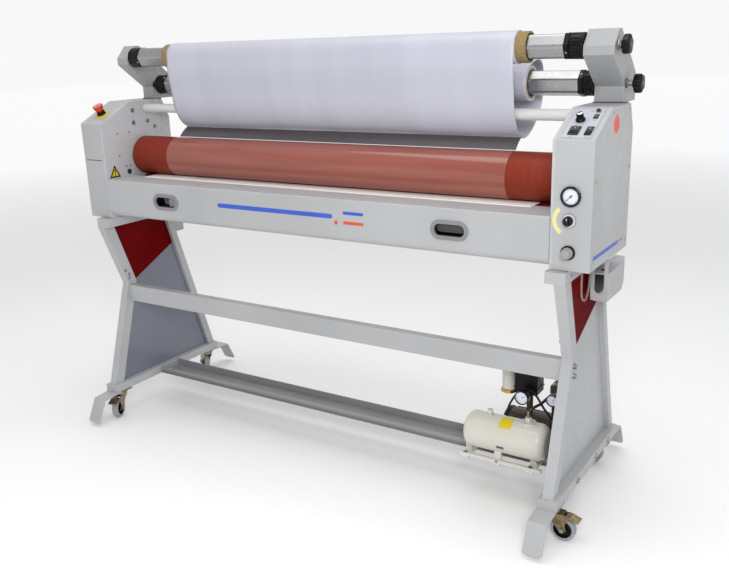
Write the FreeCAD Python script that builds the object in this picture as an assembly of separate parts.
import FreeCAD, Part
import math
import os

V = FreeCAD.Vector

# Cold roll laminator, millimetres.  Working frame: X to the operator's right with 0 midway between
# the side plates, Y from the operator to the rear with 0 at the cabinet fronts, Z up from the floor.

# ---- driving dimensions ----
INNER_HALF = 875.0          # half the clear width between the side plates
PLATE_T = 8.0               # steel side plate
CABINET_OUT = 989.0         # outer face of a cabinet cover
SHEET_T = 2.0               # folded sheet thickness
CABINET_BOTTOM = 811.0
SLOPE_FOOT_Z = 1167.0       # front edge of the sloping console face
SLOPE_TOP_Y = 147.0
CABINET_TOP = 1239.0
TOP_REAR_Y = 319.0
CABINET_REAR = 352.0

TOWER_IN = 882.0
LEFT_TOWER_IN = 911.0             # the left tower is narrower than the right one
TOWER_OUT = 969.0
UPPER_SHAFT = (228.0, 1400.0)     # (y, z) of the liner take-up shaft
LOWER_SHAFT = (328.0, 1293.0)     # (y, z) of the film supply shaft
SHAFT_FLATS = 68.0                # across the flats of the hexagonal shafts
SHAFT_CORNER = 12.0
CHUCK_R = 36.5
# Distances of each chuck's inner and outer ends from the machine's middle: (left pair, right pair).
UPPER_CHUCKS = ((851.0, 905.0), (826.0, 880.0))
LOWER_CHUCKS = ((825.0, 879.0), (838.0, 880.0))
CHUCK_COLLAR = 14.0               # length of the hexagonal collar at a chuck's inner end
LOWER_SHAFT_TURN = 42.0           # degrees from the upper shaft's position, at rest
SPINDLE_R = 12.5
CORE_BORE_R = 38.5                # 3 inch card core
CORE_R = 44.5
WEB_HALF = 685.0                  # half the film width of 1370
LINER_ROLL_R = 47.0
FILM_ROLL_R = 52.0

NIP_Y = 203.0
TOP_ROLLER_Z = 1031.0
TOP_ROLLER_R = 73.0
BOTTOM_ROLLER_Z = 897.5
BOTTOM_ROLLER_R = 60.0
ROLLER_HALF = 868.0
ROLLER_LIFT = 28.0
IDLER = (230.0, 1209.0)
IDLER_R = 17.0

BEAM_FRONT = -5.0
BEAM_DEPTH = 133.0
BEAM_BOTTOM = 821.0
BEAM_TOP = 960.0
BEAM_EDGE_R = 25.0
GRIP_X = 572.0
GRIP_Z = 895.0

LEG_IN = 899.0
LEG_OUT = 932.0
LEG_RAIL_TOP = 810.6
LEG_RAIL_BOTTOM = 777.0
LEG_FOOT_Z = 136.0
BASE_Z = 106.0
BASE_FRONT = -69.0
BASE_REAR = 531.0
MID_Y = 231.0                     # the base is symmetrical front to rear about this plane

WHEEL_R = 37.5
WHEEL_W = 24.0
CASTER_TRAIL = 38.0
CASTERS = {
    "fr": (917.0, -25.0, 0.0),   # swivel x, y and the trail's heading in degrees from +X
    "fl": (-917.0, -25.0, -66.0),
    "rr": (917.0, 487.0, 180.0),
    "rl": (-917.0, 487.0, 150.0),
}

# The exported row is centred on the bottom of its bounding box.
UPPER_KNOB_END = 1005.0
LOWER_KNOB_END = 1017.0
ROW_SHIFT = V(-(LOWER_KNOB_END - CABINET_OUT) / 2, -MID_Y, 0)


# ---- small helpers ----
def box(x0, x1, y0, y1, z0, z1):
    low = V(min(x0, x1), min(y0, y1), min(z0, z1))
    return Part.makeBox(abs(x1 - x0), abs(y1 - y0), abs(z1 - z0), low)


def cyl_x(y, z, r, x0, x1):
    return Part.makeCylinder(r, x1 - x0, V(x0, y, z), V(1, 0, 0))


def cyl_y(x, z, r, y0, y1):
    return Part.makeCylinder(r, y1 - y0, V(x, y0, z), V(0, 1, 0))


def cyl_z(x, y, r, z0, z1):
    return Part.makeCylinder(r, z1 - z0, V(x, y, z0), V(0, 0, 1))


def tube_x(y, z, r_out, r_in, x0, x1):
    return cyl_x(y, z, r_out, x0, x1).cut(cyl_x(y, z, r_in, x0 - 1, x1 + 1))


def prism_x(outline, x0, x1):
    """Extrude a closed (y, z) outline from x0 to x1."""
    points = [V(x0, y, z) for y, z in outline]
    wire = Part.makePolygon(points + points[:1])
    return Part.Face(wire).extrude(V(x1 - x0, 0, 0))


def prism_y(outline, y0, y1):
    """Extrude a closed (x, z) outline from y0 to y1."""
    points = [V(x, y0, z) for x, z in outline]
    wire = Part.makePolygon(points + points[:1])
    return Part.Face(wire).extrude(V(0, y1 - y0, 0))


def slot_y(x, z, length, width, y0, y1):
    """Obround bar, long in X, extruded along Y."""
    half = (length - width) / 2
    ends = [cyl_y(x + s * half, z, width / 2, y0, y1) for s in (-1, 1)]
    return box(x - half, x + half, y0, y1, z - width / 2, z + width / 2).fuse(ends).removeSplitter()


def slot_z_in_y(x, z0, z1, width, y0, y1):
    """Obround bar, long in Z, extruded along Y."""
    r = width / 2
    ends = [cyl_y(x, z, r, y0, y1) for z in (z0 + r, z1 - r)]
    return box(x - r, x + r, y0, y1, z0 + r, z1 - r).fuse(ends).removeSplitter()


def mirror(shape):
    return shape.mirror(V(0, 0, 0), V(1, 0, 0))


def both(shape):
    """The shape and its mirror image at the other end of the machine."""
    return [shape, mirror(shape)]


def offset_outline(outline, d):
    """Move every edge of a convex counter-clockwise (y, z) outline inwards by d."""
    result = []
    count = len(outline)
    for i in range(count):
        a, b, c = outline[i - 1], outline[i], outline[(i + 1) % count]
        lines = []
        for p, q in ((a, b), (b, c)):
            length = math.hypot(q[0] - p[0], q[1] - p[1])
            normal = (-(q[1] - p[1]) / length, (q[0] - p[0]) / length)
            lines.append((normal, normal[0] * p[0] + normal[1] * p[1] + d))
        (n1, k1), (n2, k2) = lines
        det = n1[0] * n2[1] - n1[1] * n2[0]
        result.append(((k1 * n2[1] - k2 * n1[1]) / det, (n1[0] * k2 - n2[0] * k1) / det))
    return result


def tube_prism(outline, x0, x1, wall):
    """Rectangular tube whose side view is a (y, z) quadrilateral, from its front foot round to its front top."""
    foot_front, foot_rear, top_rear, top_front = outline

    def slid(near, far, way):
        """Both ends of a long side, moved into the tube by the wall and run past the tube's ends."""
        length = math.hypot(far[0] - near[0], far[1] - near[1])
        run = ((far[0] - near[0]) / length, (far[1] - near[1]) / length)
        shift = wall * length / abs(far[1] - near[1]) * way
        return [(near[0] + shift - run[0] * 60, near[1] - run[1] * 60),
                (far[0] + shift + run[0] * 60, far[1] + run[1] * 60)]

    front, rear = slid(foot_front, top_front, 1), slid(foot_rear, top_rear, -1)
    hollow = prism_x([front[0], rear[0], rear[1], front[1]], x0 + wall, x1 - wall)
    return prism_x(outline, x0, x1).cut(hollow)


def fillet_where(shape, radius, test):
    """Round the edges whose midpoint and direction pass the test."""
    chosen = []
    for edge in shape.Edges:
        a, b = edge.firstVertex().Point, edge.lastVertex().Point
        if test((a + b) * 0.5, b - a):
            chosen.append(edge)
    return shape.makeFillet(radius, chosen)


def hex_bar(y, z, flats, corner, x0, x1):
    """Hexagonal bar along X with its flats level and its corners rounded."""
    reach = flats / 2 / math.cos(math.pi / 6)
    outline = [(y + reach * math.cos(k * math.pi / 3), z + reach * math.sin(k * math.pi / 3)) for k in range(6)]
    bar = prism_x(outline, x0, x1)
    return fillet_where(bar, corner, lambda mid, way: abs(way.x) > 1)


NODES = {}


def node(name, solids):
    NODES[name] = list(solids) if isinstance(solids, (list, tuple)) else [solids]


# ---- cabinets, towers and side plates ----
CABINET = [
    (0, CABINET_BOTTOM), (CABINET_REAR, CABINET_BOTTOM), (CABINET_REAR, SLOPE_FOOT_Z),
    (TOP_REAR_Y, CABINET_TOP), (SLOPE_TOP_Y, CABINET_TOP), (0, SLOPE_FOOT_Z),
]
TOWER = [
    (314, 1239), (430, 1239), (425, 1320), (373, 1361), (290, 1422), (262, 1444),
    (238, 1444), (196, 1399), (196, 1374), (314, 1285),
]
SLOPE_WAY = V(0, SLOPE_TOP_Y, CABINET_TOP - SLOPE_FOOT_Z).normalize()
SLOPE_OUT = V(0, -SLOPE_WAY.z, SLOPE_WAY.y)


def on_slope(x, up, out=0.0):
    """A point on a cabinet's sloping face, 'up' along the slope and 'out' from it."""
    return V(x, 0, SLOPE_FOOT_Z) + SLOPE_WAY * up + SLOPE_OUT * out


def slope_box(x, up, width, length, out0, out1):
    """A box standing on the sloping face, centred at (x, up)."""
    block = Part.makeBox(width, length, out1 - out0, V(-width / 2, -length / 2, out0))
    block.rotate(V(0, 0, 0), V(1, 0, 0), math.degrees(math.atan2(SLOPE_WAY.z, SLOPE_WAY.y)))
    block.translate(on_slope(x, up))
    return block


def slope_cyl(x, up, r, out0, out1):
    return Part.makeCylinder(r, out1 - out0, on_slope(x, up, out0), SLOPE_OUT)


SHAFT_HOLE_R = 27.0      # clears the top roller's journal
top_slot = cyl_x(NIP_Y, TOP_ROLLER_Z, SHAFT_HOLE_R, 870, 890)
top_slot = top_slot.fuse(cyl_x(NIP_Y, TOP_ROLLER_Z + ROLLER_LIFT, SHAFT_HOLE_R, 870, 890))
top_slot = top_slot.fuse(
    box(870, 890, NIP_Y - SHAFT_HOLE_R, NIP_Y + SHAFT_HOLE_R, TOP_ROLLER_Z, TOP_ROLLER_Z + ROLLER_LIFT))

plate = prism_x(CABINET, INNER_HALF, INNER_HALF + PLATE_T)
plate = plate.cut(top_slot)
plate = plate.cut(cyl_x(NIP_Y, BOTTOM_ROLLER_Z, 22, 870, 890))
plate = plate.cut(cyl_x(IDLER[0], IDLER[1], 8.4, 870, 890))
node("side_plates", both(plate))

COVER_IN = INNER_HALF + PLATE_T
inner_profile = offset_outline(CABINET, SHEET_T)
cover = prism_x(CABINET, COVER_IN, CABINET_OUT)
cover = fillet_where(cover, 3.0, lambda mid, way: mid.x > CABINET_OUT - 1 or abs(way.x) > 1)
cover = cover.cut(prism_x(inner_profile, COVER_IN - 1, CABINET_OUT - SHEET_T))
right_cover = cover
left_cover = mirror(cover)
GAUGE = (931.0, 1018.0)
SELECTOR = (927.0, 952.0)
REGULATOR = (928.0, 864.0)
right_cover = right_cover.cut(cyl_y(GAUGE[0], GAUGE[1], 24, -1, 10))
right_cover = right_cover.cut(cyl_y(SELECTOR[0], SELECTOR[1], 6, -1, 10))
right_cover = right_cover.cut(cyl_y(REGULATOR[0], REGULATOR[1], 8, -1, 10))
node("cabinet_covers", [right_cover, left_cover])

TOWER_WALL = 3.0
BEARING_R = 24.0
BEARING_LENGTH = 14.0
TOWER_HOLLOW = [
    (317.5, 1238), (426.5, 1238), (421.6, 1318.4), (288, 1419), (260.8, 1440.5),
    (239.6, 1440.5), (199.5, 1397.6), (199.5, 1375.8), (317.5, 1286.8),
]


def shaft_tower(inner):
    """Folded tower from x = inner to its outer face, and the four bearings inside it."""
    tower = prism_x(TOWER, inner, TOWER_OUT)
    tower = fillet_where(tower, 3.0, lambda mid, way: mid.x > TOWER_OUT - 1 and abs(mid.z - CABINET_TOP) > 1)
    hollow = prism_x(TOWER_HOLLOW, inner + TOWER_WALL, TOWER_OUT - TOWER_WALL)
    tower = tower.cut(hollow)
    tower_bearings = []
    for y, z in (UPPER_SHAFT, LOWER_SHAFT):
        tower = tower.cut(cyl_x(y, z, SPINDLE_R + 0.6, inner - 5, TOWER_OUT + 5))
        for start in (inner + TOWER_WALL, TOWER_OUT - TOWER_WALL - BEARING_LENGTH):
            ring = tube_x(y, z, BEARING_R, SPINDLE_R + 0.08, start, start + BEARING_LENGTH)
            tower_bearings.append(ring.common(hollow))
    return tower, tower_bearings


right_tower, right_bearings = shaft_tower(TOWER_IN)
left_tower, left_bearings = shaft_tower(LEFT_TOWER_IN)
node("shaft_towers", [right_tower, mirror(left_tower)])
tower_bearings = right_bearings + [mirror(part) for part in left_bearings]

# ---- stand: legs, base and beam between the legs ----
KINK = (65.0, 532.0)
TUBE_DEEP = 42.0
TUBE_WALL = 3.0
front_lower = tube_prism(
    [(-60, LEG_FOOT_Z), (-60 + TUBE_DEEP, LEG_FOOT_Z), (KINK[0] + TUBE_DEEP, KINK[1]), KINK],
    LEG_IN, LEG_OUT, TUBE_WALL)
front_upper = tube_prism(
    [KINK, (KINK[0] + TUBE_DEEP, KINK[1]), (-25 + 48, LEG_RAIL_BOTTOM), (-25, LEG_RAIL_BOTTOM)],
    LEG_IN, LEG_OUT, TUBE_WALL)
rear_tube = tube_prism(
    [(521 - 34, LEG_FOOT_Z), (521, LEG_FOOT_Z), (326, LEG_RAIL_BOTTOM), (326 - 30, LEG_RAIL_BOTTOM)],
    LEG_IN, LEG_OUT, TUBE_WALL)
top_rail = box(LEG_IN - 27, LEG_OUT, -25, 340, LEG_RAIL_BOTTOM, LEG_RAIL_TOP)
top_rail = top_rail.cut(box(LEG_IN - 24, LEG_OUT - 3, -22, 337, LEG_RAIL_BOTTOM + 3, LEG_RAIL_TOP - 3))


def rear_inner_y(z):
    """Front edge of the rear tube at height z."""
    share = (z - LEG_FOOT_Z) / (LEG_RAIL_BOTTOM - LEG_FOOT_Z)
    return (521 - 34) + share * ((326 - 30) - (521 - 34))


WEB_X0 = 912.0
WEB_X1 = 916.0
RED_HIGH_Z = 640.0
web = prism_x([(-60 + TUBE_DEEP, LEG_FOOT_Z), (rear_inner_y(LEG_FOOT_Z), LEG_FOOT_Z),
               (rear_inner_y(RED_HIGH_Z), RED_HIGH_Z), (KINK[0] + TUBE_DEEP, KINK[1])], WEB_X0, WEB_X1)
leg_parts = [front_lower, front_upper, rear_tube, top_rail, web]
node("leg_frames", leg_parts + [mirror(part) for part in leg_parts])

red = prism_x([(KINK[0] + TUBE_DEEP + 1, KINK[1] + 1), (rear_inner_y(RED_HIGH_Z) - 1, RED_HIGH_Z + 1),
               (rear_inner_y(LEG_RAIL_BOTTOM) - 1, LEG_RAIL_BOTTOM - 0.5), (24, LEG_RAIL_BOTTOM - 0.5)],
              WEB_X0, WEB_X1)
node("red_panels", both(red))

base = box(888, 946, BASE_FRONT, BASE_REAR, BASE_Z, LEG_FOOT_Z)
base = fillet_where(base, 3.0, lambda mid, way: abs(way.y) > 100 and mid.z > BASE_Z + 1)
base = base.cut(box(891, 943, BASE_FRONT + 3, BASE_REAR - 3, BASE_Z + 3, LEG_FOOT_Z - 3))
base = base.cut(box(905, 929, 200, 260, BASE_Z - 1, BASE_Z + 4))
node("base_channels", both(base))

cross = fillet_where(box(-LEG_IN, LEG_IN, 67, 97, 458, 525), 3.0, lambda mid, way: abs(way.x) > 100)
node("middle_beam", cross.cut(box(-LEG_IN - 1, LEG_IN + 1, 69.5, 94.5, 460.5, 522.5)))

TRAY_Y0, TRAY_Y1 = 178.0, 282.0
tray_floor = box(-888, 888, TRAY_Y0, TRAY_Y1, 107, 110)
tray_lips = [box(-888, 888, TRAY_Y0, TRAY_Y0 + 3, 110, 136), box(-888, 888, TRAY_Y1 - 3, TRAY_Y1, 110, 136)]
node("base_tray", [tray_floor] + tray_lips)

# Stabiliser foot: a bent bar that runs out under the base channel's end and down towards the floor.
FOOT_LOW = (-178.0, 18.0)
FOOT_KNEE = (-136.0, 101.0)
FOOT_T = 5.0


def foot_outline():
    ramp = (FOOT_KNEE[0] - FOOT_LOW[0], FOOT_KNEE[1] - FOOT_LOW[1])
    length = math.hypot(*ramp)
    inward = (FOOT_T * ramp[1] / length, -FOOT_T * ramp[0] / length)
    return [
        (-45, BASE_Z), (-45, BASE_Z - FOOT_T), (FOOT_KNEE[0] + 3.5, FOOT_KNEE[1] - FOOT_T + 0.5),
        (FOOT_LOW[0] + inward[0], FOOT_LOW[1] + inward[1]), FOOT_LOW, FOOT_KNEE, (-69, BASE_Z),
    ]


foot_front = prism_x(foot_outline(), 885, 944)
foot_front = fillet_where(foot_front, 10.0, lambda mid, way: mid.z < 25 and abs(way.x) < 0.1)
foot_rear = foot_front.mirror(V(0, MID_Y, 0), V(0, 1, 0))
node("stabiliser_feet", both(foot_front) + both(foot_rear))

# ---- casters ----
PLATE_Z = 101.0
PLATE_LENGTH = 55.0
FOOT_END_Y = -44.5          # a front pad starts behind the stabiliser foot, and a rear one ends before it


def caster_plate(cx, cy):
    """Top plate of a caster with the pad that meets the channel and the swivel stud."""
    front = cy < MID_Y
    y0 = cy - 17 if front else cy - 38
    y1 = y0 + PLATE_LENGTH
    pad_y0 = max(y0, FOOT_END_Y) if front else y0
    pad_y1 = y1 if front else min(y1, 2 * MID_Y - FOOT_END_Y)
    slab = box(cx - 27, cx + 27, y0, y1, PLATE_Z - 3, PLATE_Z)
    pad = box(cx - 27, cx + 27, pad_y0, pad_y1, PLATE_Z, BASE_Z)
    stud = cyl_z(cx, cy, 7, 84, PLATE_Z - 2)
    return slab.fuse([pad, stud]).removeSplitter()


node("caster_plates", [caster_plate(cx, cy) for cx, cy, heading in CASTERS.values()])


PEDAL_HINGE = (CASTER_TRAIL + 12.0, 79.5)    # along the trail, height
PEDAL_HINGE_R = 3.5


def caster_fork(cx, cy, heading, braked):
    """Pressed fork under a swivel head, with its wheel pin, trailing towards +X before turning."""
    head = cyl_z(0, 0, 24, 88, PLATE_Z - 3.4).cut(cyl_z(0, 0, 7.1, 80, 110))
    head = fillet_where(head, 3.0, lambda mid, way: mid.z > 95 and math.hypot(mid.x, mid.y) > 20)
    bridge = box(-22, 40, -17, 17, 84, 88).cut(cyl_z(0, 0, 7.1, 80, 110))
    nose = PEDAL_HINGE[0] + 8 if braked else CASTER_TRAIL + 9
    cheek = [(-18, 84), (nose, 84), (nose, 75), (CASTER_TRAIL + 9, 60), (CASTER_TRAIL + 9, 33),
             (CASTER_TRAIL, 27), (CASTER_TRAIL - 9, 33), (4, 62), (-18, 78)]
    cheeks = [prism_y(cheek, s * 17 - (2.5 if s > 0 else 0), s * 17 + (0 if s > 0 else 2.5)) for s in (-1, 1)]
    pin = cyl_y(CASTER_TRAIL, WHEEL_R, 4, -20, 20)
    heads = [cyl_y(CASTER_TRAIL, WHEEL_R, 7, -21, -17), cyl_y(CASTER_TRAIL, WHEEL_R, 7, 17, 21)]
    fork = head.fuse([bridge] + cheeks + [pin] + heads).removeSplitter()
    if braked:
        fork = fork.cut(cyl_y(PEDAL_HINGE[0], PEDAL_HINGE[1], PEDAL_HINGE_R - 1 + 0.08, -20, 20))
    fork.rotate(V(0, 0, 0), V(0, 0, 1), heading)
    fork.translate(V(cx, cy, 0))
    return fork


def caster_wheel(cx, cy, heading):
    tread = cyl_y(CASTER_TRAIL, WHEEL_R, WHEEL_R, -WHEEL_W / 2, WHEEL_W / 2)
    tread = tread.makeFillet(4.0, [e for e in tread.Edges if abs(e.Length - 2 * math.pi * WHEEL_R) < 1])
    tread = tread.cut(cyl_y(CASTER_TRAIL, WHEEL_R, 4.08, -30, 30))
    for s in (-1, 1):
        recess = cyl_y(CASTER_TRAIL, WHEEL_R, 25, min(s * 9, s * 13), max(s * 9, s * 13))
        recess = recess.cut(cyl_y(CASTER_TRAIL, WHEEL_R, 10, -14, 14))
        tread = tread.cut(recess)
    tread.rotate(V(0, 0, 0), V(0, 0, 1), heading)
    tread.translate(V(cx, cy, 0))
    return tread


def caster_brake(cx, cy, heading):
    """Foot pedal over the wheel, hinged on a pin across the fork."""
    x, z = PEDAL_HINGE
    pad = prism_y([(x + 9, z + 0.5), (x + 36, z - 9), (x + 37, z - 6), (x + 9, z + 4)], -18, 18)
    arm = box(x - 3.5, x + 12, -13.5, 13.5, z - 1, z + 4)
    hub = cyl_y(x, z, PEDAL_HINGE_R, -13.5, 13.5)
    pin = cyl_y(x, z, PEDAL_HINGE_R - 1, -18.5, 18.5)
    pad = pad.fuse([arm, hub, pin]).removeSplitter()
    pad.rotate(V(0, 0, 0), V(0, 0, 1), heading)
    pad.translate(V(cx, cy, 0))
    return pad


for key, (cx, cy, heading) in CASTERS.items():
    node("caster_fork_" + key, caster_fork(cx, cy, heading, key[0] == "f"))
    node("caster_wheel_" + key, caster_wheel(cx, cy, heading))
    if key[0] == "f":
        node("caster_brake_" + key, caster_brake(cx, cy, heading))

# ---- pull-out accessory pockets on the legs' outer faces ----
POCKET_X0, POCKET_X1 = 934.0, 984.0
front_plate = box(POCKET_X0, POCKET_X1, 195, 198, 676, 810)
front_plate = fillet_where(front_plate, 14.0, lambda mid, way: abs(way.y) > 1 and mid.z < 700)
front_plate = front_plate.cut(slot_z_in_y(959, 700, 800, 28, 190, 200))
pocket_top = box(POCKET_X0, POCKET_X1, 198, 430, 757, 760).cut(box(946, 972, 232, 262, 750, 765))
pocket_side = box(POCKET_X1 - 3, POCKET_X1, 198, 344, 676, 757)
pocket_bend = Part.Face(Part.makePolygon(
    [V(POCKET_X1 - 3, 344, 676), V(POCKET_X1, 344, 676), V(966, 430, 676), V(963, 430, 676),
     V(POCKET_X1 - 3, 344, 676)])).extrude(V(0, 0, 81))
top_trim = Part.Face(Part.makePolygon(
    [V(POCKET_X1, 344, 756), V(POCKET_X1 + 5, 344, 756), V(POCKET_X1 + 5, 432, 756), V(966, 432, 756),
     V(966, 430, 756), V(POCKET_X1, 344, 756)])).extrude(V(0, 0, 5))
pocket_top = pocket_top.cut(top_trim)
pocket_end = box(POCKET_X0, 966, 430, 433, 676, 760)
pocket_back = box(POCKET_X0, POCKET_X0 + 3, 198, 430, 676, 757)
pocket = front_plate.fuse([pocket_top, pocket_side, pocket_bend, pocket_end, pocket_back]).removeSplitter()
tabs = box(LEG_OUT, POCKET_X0, 240, 320, 700, 740)
pocket = pocket.fuse(tabs).removeSplitter()
node("accessory_pockets", both(pocket))

# ---- front beam, table and hand grips ----
beam = box(-INNER_HALF, INNER_HALF, BEAM_FRONT, BEAM_FRONT + BEAM_DEPTH, BEAM_BOTTOM, BEAM_TOP)
beam = fillet_where(beam, BEAM_EDGE_R,
                    lambda mid, way: abs(way.x) > 100 and mid.y < 0 and mid.z < BEAM_BOTTOM + 1)
beam = fillet_where(beam, 4.0, lambda mid, way: abs(way.x) > 100 and mid.y < 0 and mid.z > BEAM_TOP - 1)
beam_hollow = box(-INNER_HALF + 3, INNER_HALF - 3, BEAM_FRONT + 3, BEAM_FRONT + BEAM_DEPTH - 3,
                  BEAM_BOTTOM + 3, BEAM_TOP - 3)
beam_hollow = fillet_where(beam_hollow, BEAM_EDGE_R - 3,
                           lambda mid, way: abs(way.x) > 100 and mid.y < 10 and mid.z < BEAM_BOTTOM + 9)
beam = beam.cut(beam_hollow)
for s in (-1, 1):
    beam = beam.cut(slot_y(s * GRIP_X, GRIP_Z, 110, 46, BEAM_FRONT - 5, BEAM_FRONT + 10))
node("front_beam", beam)

grips = []
for s in (-1, 1):
    bezel = slot_y(s * GRIP_X, GRIP_Z, 122, 58, BEAM_FRONT - 4, BEAM_FRONT)
    cup = slot_y(s * GRIP_X, GRIP_Z, 109, 45, BEAM_FRONT, BEAM_FRONT + 42)
    grip = bezel.fuse(cup).removeSplitter()
    grip = grip.cut(slot_y(s * GRIP_X, GRIP_Z, 99, 35, BEAM_FRONT - 6, BEAM_FRONT + 39))
    grips.append(grip)
node("hand_grips", grips)

TABLE_LIP_Y = 172.0
table = box(-780, 780, 100, TABLE_LIP_Y, BEAM_TOP, BEAM_TOP + 2)
node("feed_table", table)

# ---- rollers ----
JOURNAL_R = 25.0
node("top_roller_sleeve", tube_x(NIP_Y, TOP_ROLLER_Z, TOP_ROLLER_R, 55, -ROLLER_HALF, ROLLER_HALF))


def roller_core(z, r_out, r_in, journal_r, left_end, right_end):
    """Steel core tube closed by end plugs with journals, drilled through on its axis."""
    core = cyl_x(NIP_Y, z, r_out, -ROLLER_HALF, ROLLER_HALF)
    core = core.fuse(cyl_x(NIP_Y, z, journal_r, left_end, right_end)).removeSplitter()
    core = core.cut(cyl_x(NIP_Y, z, r_in, -ROLLER_HALF + 30, ROLLER_HALF - 30))
    return core.cut(cyl_x(NIP_Y, z, 4, left_end - 1, right_end + 1))


node("top_roller_shaft", roller_core(TOP_ROLLER_Z, 55, 45, JOURNAL_R, -924, 924))
node("bottom_roller_sleeve",
     tube_x(NIP_Y, BOTTOM_ROLLER_Z, BOTTOM_ROLLER_R, 44, -ROLLER_HALF, ROLLER_HALF))
DRIVE_JOURNAL_R = 20.0
node("bottom_roller_shaft", roller_core(BOTTOM_ROLLER_Z, 44, 34, DRIVE_JOURNAL_R, -920, 950))

top_block = box(886, 922, NIP_Y - 42, NIP_Y + 42, TOP_ROLLER_Z - 42, TOP_ROLLER_Z + 42)
top_block = top_block.cut(cyl_x(NIP_Y, TOP_ROLLER_Z, JOURNAL_R + 0.08, 880, 930))
lift_rod = cyl_z(904, NIP_Y, 8, TOP_ROLLER_Z + 42, TOP_ROLLER_Z + 112)
node("lift_bearing_blocks", both(top_block.fuse(lift_rod)))

CYLINDER_FOOT = TOP_ROLLER_Z + 42 + ROLLER_LIFT + 10
cylinder = cyl_z(904, NIP_Y, 21, CYLINDER_FOOT, 1222)
cylinder = cylinder.cut(cyl_z(904, NIP_Y, 8.4, CYLINDER_FOOT - 1, 1215))
ear = box(883, 886, NIP_Y - 18, NIP_Y + 18, 1120, 1210)
node("lift_cylinders", both(cylinder.fuse(ear).removeSplitter()))

bottom_block = box(883, 919, NIP_Y - 40, NIP_Y + 40, BOTTOM_ROLLER_Z - 40, BOTTOM_ROLLER_Z + 40)
bottom_block = bottom_block.cut(cyl_x(NIP_Y, BOTTOM_ROLLER_Z, DRIVE_JOURNAL_R + 0.08, 880, 930))
node("bearings", both(bottom_block) + tower_bearings)

gearbox = box(922, 984, NIP_Y - 44, NIP_Y + 44, BOTTOM_ROLLER_Z - 50, BOTTOM_ROLLER_Z + 42)
gearbox = gearbox.cut(cyl_x(NIP_Y, BOTTOM_ROLLER_Z, DRIVE_JOURNAL_R + 0.4, 900, 960))
motor = cyl_y(950, BOTTOM_ROLLER_Z - 10, 34, NIP_Y + 44, 342)
motor_ear = box(919, 922, NIP_Y - 40, NIP_Y - 24, BOTTOM_ROLLER_Z - 38, BOTTOM_ROLLER_Z + 38)
node("drive_motor", gearbox.fuse([motor, motor_ear]).removeSplitter())

idler = tube_x(IDLER[0], IDLER[1], IDLER_R, 14, -873.5, 873.5)
pins = [cyl_x(IDLER[0], IDLER[1], 8, -882, -860), cyl_x(IDLER[0], IDLER[1], 8, 860, 882)]
caps = [cyl_x(IDLER[0], IDLER[1], 14, -873.5, -860), cyl_x(IDLER[0], IDLER[1], 14, 860, 873.5)]
node("idler_bar", idler.fuse(pins + caps).removeSplitter())


# ---- film and liner shafts ----
def chuck(y, z, turn, inner, outer):
    """Black fluted chuck with a hexagonal inboard collar and a spindle to the tower's outer wall."""
    body = cyl_x(y, z, CHUCK_R, inner + CHUCK_COLLAR, outer)
    body = fillet_where(body, 3.0, lambda mid, way: mid.x > inner + 1)
    for k in range(12):
        a = 2 * math.pi * k / 12
        body = body.cut(cyl_x(y + (CHUCK_R + 3) * math.cos(a), z + (CHUCK_R + 3) * math.sin(a), 5.5,
                              inner + CHUCK_COLLAR + 4, outer - 6))
    collar = hex_bar(y, z, SHAFT_FLATS + 3, 10.0, inner, inner + CHUCK_COLLAR)
    collar.rotate(V(0, y, z), V(1, 0, 0), turn)
    spindle = cyl_x(y, z, SPINDLE_R, outer - 2, TOWER_OUT - 1)
    return body.fuse([collar, spindle]).removeSplitter()


for prefix, (y, z), turn, (left_ends, right_ends) in (
        ("upper", UPPER_SHAFT, 0.0, UPPER_CHUCKS), ("lower", LOWER_SHAFT, LOWER_SHAFT_TURN, LOWER_CHUCKS)):
    bar = hex_bar(y, z, SHAFT_FLATS, SHAFT_CORNER, -left_ends[0], right_ends[0])
    bar.rotate(V(0, y, z), V(1, 0, 0), turn)
    node(prefix + "_shaft", bar.cut(cyl_x(y, z, 26, -left_ends[0] - 1, right_ends[0] + 1)))
    node(prefix + "_chucks", [chuck(y, z, turn, *right_ends), mirror(chuck(y, z, turn, *left_ends))])

node("liner_core", tube_x(UPPER_SHAFT[0], UPPER_SHAFT[1], CORE_R, CORE_BORE_R, -718, 718))
node("liner_roll", tube_x(UPPER_SHAFT[0], UPPER_SHAFT[1], LINER_ROLL_R, CORE_R, -WEB_HALF, WEB_HALF))
film_core = tube_x(LOWER_SHAFT[0], LOWER_SHAFT[1], CORE_R, CORE_BORE_R, -WEB_HALF - 1, WEB_HALF + 1)
film_turns = tube_x(LOWER_SHAFT[0], LOWER_SHAFT[1], FILM_ROLL_R, CORE_R, -WEB_HALF, WEB_HALF)
node("film_roll", [film_core, film_turns])


def brake_knob(y, z, grip_length, end):
    """Five-lobed tension knob on a plain stem, outside the right tower."""
    grip_start = end - grip_length
    knob = cyl_x(y, z, 24, grip_start, end)
    for k in range(5):
        a = 2 * math.pi * (k + 0.25) / 5
        knob = knob.fuse(cyl_x(y + 18 * math.cos(a), z + 18 * math.sin(a), 10, grip_start + 2, end - 3))
    knob = knob.removeSplitter()
    stem = cyl_x(y, z, 9, TOWER_OUT + 3, grip_start + 2)
    nut = cyl_x(y, z, 15, TOWER_OUT + 0.4, TOWER_OUT + 6)
    return knob.fuse([stem, nut]).removeSplitter()


node("brake_knob_upper", brake_knob(*UPPER_SHAFT, 24, UPPER_KNOB_END))
node("brake_knob_lower", brake_knob(*LOWER_SHAFT, 27, LOWER_KNOB_END))

# ---- liner and film webs ----
WEB_T = 1.0
WEB_GAP = 1.6               # from a roll to the web's centre side, which keeps the thickness clear of the roll


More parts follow.
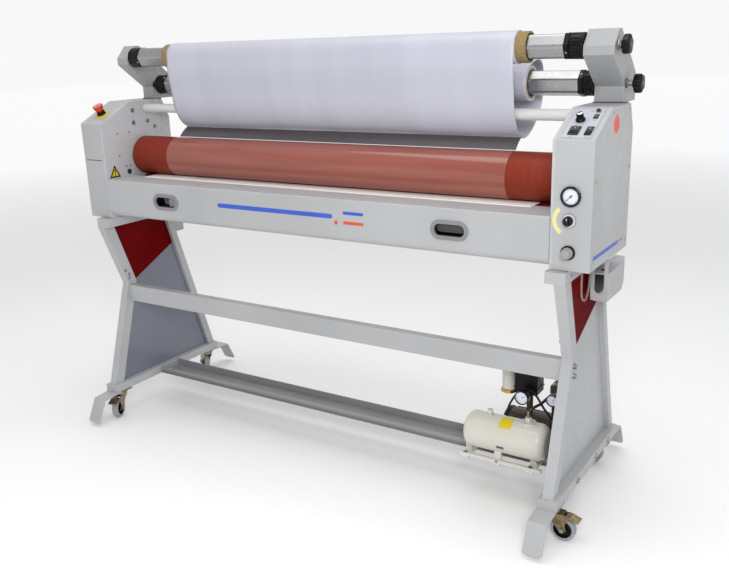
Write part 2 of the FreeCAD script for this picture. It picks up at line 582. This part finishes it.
def ribbon(points, thickness, half_width, start_way=None, end_way=None):
    """A thin sheet along a smooth (y, z) path, thickened to the left of the path, spanning the width."""
    line = Part.BSplineCurve()
    args = {}
    if start_way:
        args = {"InitialTangent": V(0, *start_way), "FinalTangent": V(0, *end_way)}
    line.interpolate([V(-half_width, y, z) for y, z in points], **args)
    count = 90
    first, last = line.FirstParameter, line.LastParameter
    outer = []
    for k in range(count + 1):
        t = first + (last - first) * k / count
        p, way = line.value(t), line.tangent(t)[0]
        outer.append(p + V(0, -way.z, way.y) * thickness)
    other = Part.BSplineCurve()
    other.interpolate(outer)
    edge_a, edge_b = line.toShape(), other.toShape()
    ends = [Part.makeLine(line.value(first), outer[0]), Part.makeLine(line.value(last), outer[-1])]
    wire = Part.Wire(Part.__sortEdges__([edge_a, edge_b] + ends))
    return Part.Face(wire).extrude(V(2 * half_width, 0, 0))


uy, uz = UPPER_SHAFT
ly, lz = LOWER_SHAFT
roll_gap_u = LINER_ROLL_R + WEB_GAP
roll_gap_l = FILM_ROLL_R + WEB_GAP
LEAVE = math.radians(112)
leave_point = (ly + roll_gap_l * math.cos(LEAVE), lz + roll_gap_l * math.sin(LEAVE))
LOOP = [
    (uy - roll_gap_u, uz), (177.5, 1345), (187, 1280), (197, 1218), (222, 1167), (258, 1139),
    (290, 1134), (335, 1150), (383, 1184), (413, 1220), (428, 1270), (425, 1326), (402, 1358),
    (355, 1359), leave_point,
]
liner = ribbon(LOOP, WEB_T, WEB_HALF, (0, -1), (-math.sin(LEAVE), math.cos(LEAVE)))
node("liner_web", liner)

FILM_R = TOP_ROLLER_R + 0.5
FILM_T = 0.6
film_web_line = [(254, 1138.5), (232, 1125), (NIP_Y + 8, TOP_ROLLER_Z + FILM_R + 1.2)]
film_web_back = [(y + 0.6, z - 0.8) for y, z in reversed(film_web_line)]
node("film_web", prism_x(film_web_line + film_web_back, -WEB_HALF, WEB_HALF))


def film_wrap():
    """Film lying on the front of the top roller, from its crown almost to the nip."""
    ring = tube_x(NIP_Y, TOP_ROLLER_Z, FILM_R + FILM_T, FILM_R, -WEB_HALF, WEB_HALF)
    keep = []
    reach = 200
    start, stop, steps = math.radians(86), math.radians(246), 4
    for k in range(steps):
        a0 = start + (stop - start) * k / steps
        a1 = start + (stop - start) * (k + 1) / steps
        wedge = [(NIP_Y, TOP_ROLLER_Z)]
        wedge += [(NIP_Y + reach * math.cos(a), TOP_ROLLER_Z + reach * math.sin(a)) for a in (a0, a1)]
        keep.append(prism_x(wedge, -WEB_HALF, WEB_HALF))
    sector = keep[0].fuse(keep[1:]).removeSplitter()
    return ring.common(sector)


node("film_on_roller", film_wrap())

# ---- controls ----
ESTOP = (-932.0, 66.0)      # x and distance up the left slope
node("estop_base", [slope_cyl(ESTOP[0], ESTOP[1], 28, 0.1, 3).fuse(
    slope_cyl(ESTOP[0], ESTOP[1], 15, 3, 16)).cut(slope_cyl(ESTOP[0], ESTOP[1], 9.3, 5, 30))])
estop = slope_cyl(ESTOP[0], ESTOP[1], 8.5, 12, 26).fuse(slope_cyl(ESTOP[0], ESTOP[1], 20, 23, 38))
estop = fillet_where(estop.removeSplitter(), 5.0,
                     lambda mid, way: (mid - on_slope(ESTOP[0], ESTOP[1])).dot(SLOPE_OUT) > 37)
node("estop_button", estop)

CONSOLE = (933.0, 81.0, 82.0, 150.0)    # x, up, width, length on the right slope
SPEED_KNOB = (921.0, 92.0)
ROUND_BUTTON = (956.0, 139.0)
SQUARE_SWITCH = (957.0, 113.0)
ROCKERS = {"rocker_left": (920.5, 41.0, 24.0, 36.0), "rocker_right": (960.0, 41.0, 14.0, 36.0)}
panel = slope_box(*CONSOLE, 0.1, 1.6)
panel = panel.fuse(slope_cyl(*ROUND_BUTTON, 7, 1.6, 4)).fuse(slope_cyl(*ROUND_BUTTON, 5, 4, 9))
panel = panel.fuse(slope_box(*SQUARE_SWITCH, 13, 21, 1.6, 3.4))
panel = panel.fuse(slope_cyl(*SPEED_KNOB, 5, 1.6, 3))
for x, up, width, length in ROCKERS.values():
    frame = slope_box(x, up, width + 4, length + 4, 1.6, 4)
    panel = panel.fuse(frame)
    panel = panel.cut(slope_box(x, up, width, length, 1.7, 6))
node("console_panel", panel.removeSplitter())

speed = slope_cyl(*SPEED_KNOB, 13.3, 3.4, 11).fuse(slope_cyl(*SPEED_KNOB, 9, 11, 25))
node("speed_knob", speed.removeSplitter())

for name, (x, up, width, length) in ROCKERS.items():
    face = slope_box(x, up, width - 1, length * 0.86, 4.4, 6.0)
    hub = Part.makeCylinder(2.2, width - 1, on_slope(x - (width - 1) / 2, up, 4.4), V(1, 0, 0))
    node(name, face.fuse(hub).removeSplitter())

case = cyl_y(GAUGE[0], GAUGE[1], 28, -9, 0).cut(cyl_y(GAUGE[0], GAUGE[1], 24.5, -12, -2.5))
case = case.fuse(cyl_y(GAUGE[0], GAUGE[1], 23, -2.5, 28)).fuse(cyl_y(GAUGE[0], GAUGE[1], 2, -6, -2.5))
node("gauge_case", case.removeSplitter())
needle = box(GAUGE[0] - 1, GAUGE[0] + 1, -7.2, -6.4, GAUGE[1] - 7, GAUGE[1] + 18)
needle = needle.fuse(cyl_y(GAUGE[0], GAUGE[1], 3, -7.4, -6.2))
needle.rotate(V(GAUGE[0], 0, GAUGE[1]), V(0, 1, 0), -135)
node("gauge_needle", needle.removeSplitter())

ring = cyl_y(SELECTOR[0], SELECTOR[1], 20, -4, -0.4)
lever = cyl_y(SELECTOR[0], SELECTOR[1], 14, -15, -4).fuse(
    box(SELECTOR[0] - 5, SELECTOR[0] + 5, -21, -15, SELECTOR[1] - 12, SELECTOR[1] + 12))
lever = lever.fuse([ring, cyl_y(SELECTOR[0], SELECTOR[1], 5, -0.4, 14)])
node("lift_selector", lever.removeSplitter())

knob = cyl_y(REGULATOR[0], REGULATOR[1], 20, -6, -0.4).fuse(cyl_y(REGULATOR[0], REGULATOR[1], 14, -18, -6))
knob = knob.fuse(cyl_y(REGULATOR[0], REGULATOR[1], 12, -31, -18))
knob = fillet_where(knob.removeSplitter(), 2.0, lambda mid, way: mid.y < -30)
knob = knob.fuse(cyl_y(REGULATOR[0], REGULATOR[1], 7, -0.4, 14))
node("regulator_knob", knob.removeSplitter())

# ---- compressor on the tray ----
TANK_Y, TANK_Z, TANK_R = 108.0, 225.0, 58.5
TANK_X0, TANK_X1 = 582.0, 853.0
TANK_WALL = 3.0
TANK_END_R = 27.0
CRADLE_Z = 144.0            # top of the bars across the tray, which the tank and the pump stand on
TRAY_TOP = 136.0


def tank_shape(shrink):
    """The tank's outer shape, or the air space inside it when shrunk by the wall."""
    radius = TANK_R - shrink
    body = cyl_x(TANK_Y, TANK_Z, radius, TANK_X0 + shrink, TANK_X1 - shrink)
    rims = [edge for edge in body.Edges if abs(edge.Length - 2 * math.pi * radius) < 1]
    return body.makeFillet(TANK_END_R - shrink, rims)


PORT_X = 660.0
air_space = tank_shape(TANK_WALL)
tank = tank_shape(0)
for x, flange_r, neck_r in ((PORT_X, 12, 8), (787, 24, 9)):
    tank = tank.fuse(cyl_z(x, TANK_Y, flange_r, 272, TANK_Z + TANK_R + 3))
    tank = tank.fuse(cyl_z(x, TANK_Y, neck_r, 272, TANK_Z + TANK_R + 18))
tank = tank.fuse(box(691, 713, 70, 82, CRADLE_Z, 182))
CRADLES = (592.0, 812.0)
for x in CRADLES:
    tank = tank.fuse(box(x - 10, x + 10, 92, 124, CRADLE_Z, 172))
cradle = [box(x - 11, x + 11, 60, 279, TRAY_TOP, CRADLE_Z) for x in CRADLES]
cradle_rail = box(573, 848, 60, 72, CRADLE_Z, CRADLE_Z + 10)
middle_hook = box(691, 713, 60, 84, TRAY_TOP, CRADLE_Z)
tank = tank.fuse(cradle + [cradle_rail, middle_hook]).removeSplitter()
tank = tank.cut(air_space).cut(cyl_z(PORT_X, TANK_Y, 4, 270, 320))
node("air_tank", tank)

PUMP_Y, PUMP_Z, PUMP_R = 238.0, 206.0, 54.0
BARREL_X = 854.0
HEAD_Z = 335.0
pump = cyl_x(PUMP_Y, PUMP_Z, PUMP_R, 670, 824)
pump = pump.makeFillet(8.0, [e for e in pump.Edges if abs(e.Length - 2 * math.pi * PUMP_R) < 1])
crank = box(824, 884, PUMP_Y - 40, PUMP_Y + 40, PUMP_Z - 50, PUMP_Z + 50)
barrel = cyl_z(BARREL_X, PUMP_Y, 30, PUMP_Z + 50, HEAD_Z)
fins = [cyl_z(BARREL_X, PUMP_Y, 38, PUMP_Z + 60 + 12 * k, PUMP_Z + 63 + 12 * k) for k in range(5)]
head = box(BARREL_X - 34, BARREL_X + 34, PUMP_Y - 34, PUMP_Y + 34, HEAD_Z, HEAD_Z + 42)
pump_feet = box(686, 876, PUMP_Y - 34, PUMP_Y + 34, CRADLE_Z, 162)
node("compressor_pump", pump.fuse([crank, barrel, head, pump_feet] + fins).removeSplitter())

SWITCH_Z = 334.0
switch = box(703, 779, 196, 258, SWITCH_Z, 424)
switch = fillet_where(switch, 4.0, lambda mid, way: mid.z > SWITCH_Z + 1)
switch_post = cyl_z(744, 228, 11, PUMP_Z + PUMP_R, SWITCH_Z)
outlet = cyl_z(679, 212, 23, 340, 408)
outlet_link = cyl_x(212, 360, 8, 695, 710)
brass = cyl_z(679, 212, 27, 328, 340)
brass = brass.cut(box(702.9, 720, 180, 250, 320, 345))
switch = switch.fuse([switch_post, outlet_link, outlet, brass]).removeSplitter()

tank_gauges = []
for x, y, z, r, back_y in ((747, 150, 342, 23, 196), (844, 158, 349, 20, PUMP_Y - 34)):
    dial = cyl_y(x, z, r, y - 6, y + 18)
    tank_gauges.append(dial.fuse(cyl_y(x, z, 7, y + 18, back_y)).removeSplitter())
node("air_controls", [switch] + tank_gauges)


# ---- clear air hose that hangs in a short loop under the right cabinet ----
def cord_tube(points, diameter):
    """Round tube along straight runs joined by tangent arcs; prints each arc's radius."""
    pieces = []
    start = points[0]
    for i in range(1, len(points) - 1):
        a, b, c = points[i - 1], points[i], points[i + 1]
        back, ahead = (a - b), (c - b)
        shorter = min(back.Length, ahead.Length)
        half_turn = (math.pi - back.getAngle(ahead)) / 2
        cut = 0.45 * shorter
        radius = cut / math.tan(half_turn)
        back.normalize()
        ahead.normalize()
        first, last = b + back * cut, b + ahead * cut
        middle_way = (back + ahead).normalize()
        middle = b + middle_way * (radius / math.cos(half_turn) - radius)
        pieces.append(Part.LineSegment(start, first).toShape())
        pieces.append(Part.Arc(first, middle, last).toShape())
        start = last
        print("hose arc radius", round(radius, 1))
    pieces.append(Part.LineSegment(start, points[-1]).toShape())
    path = Part.Wire(pieces)
    circle = Part.Circle(points[0], (points[1] - points[0]).normalize(), diameter / 2)
    section = Part.Wire([circle.toShape()])
    tube = path.makePipeShell([section], True, True)
    expected = path.Length * math.pi * (diameter / 2) ** 2
    print("hose length", round(path.Length, 1), "volume ratio", round(tube.Volume / expected, 4))
    return tube


HOSE_D = 6.0
HOSE_X = 955.0
HOSE_ROUTE = [(45, CABINET_BOTTOM), (44, 770), (47, 735), (62, 713), (87, 709), (107, 727), (117, 762),
              (120, CABINET_BOTTOM)]
node("clear_hose", cord_tube([V(HOSE_X, y, z) for y, z in HOSE_ROUTE], HOSE_D))

# ---- fasteners: bolt heads on the legs, the base and the beam ends ----
BOLT_R = 7.0
bolts = []
for y, z in ((120, 160), (300, 160), (430, 160)):
    bolts.append(cyl_x(y, z - 40, BOLT_R, 946, 951))
for y, z in ((83, 505), (83, 475)):
    bolts.append(cyl_x(y, z, BOLT_R, LEG_OUT, LEG_OUT + 5))
for y, z in ((60, 600), (38, 690)):
    bolts.append(cyl_x(y, z, 6, LEG_IN - 4, LEG_IN))
node("frame_bolts", bolts + [mirror(bolt) for bolt in bolts])

# ---- write every node ----
os.makedirs("parts", exist_ok=True)
for name, solids in NODES.items():
    shape = solids[0] if len(solids) == 1 else Part.makeCompound(solids)
    shape = shape.copy()
    shape.translate(ROW_SHIFT)
    shape.exportStep("parts/" + name + ".step")
total = Part.makeCompound([solid for solids in NODES.values() for solid in solids])
print(len(NODES), "nodes", total.BoundBox)
for name, solids in NODES.items():
    if not all(solid.isValid() for solid in solids):
        print("invalid", name)
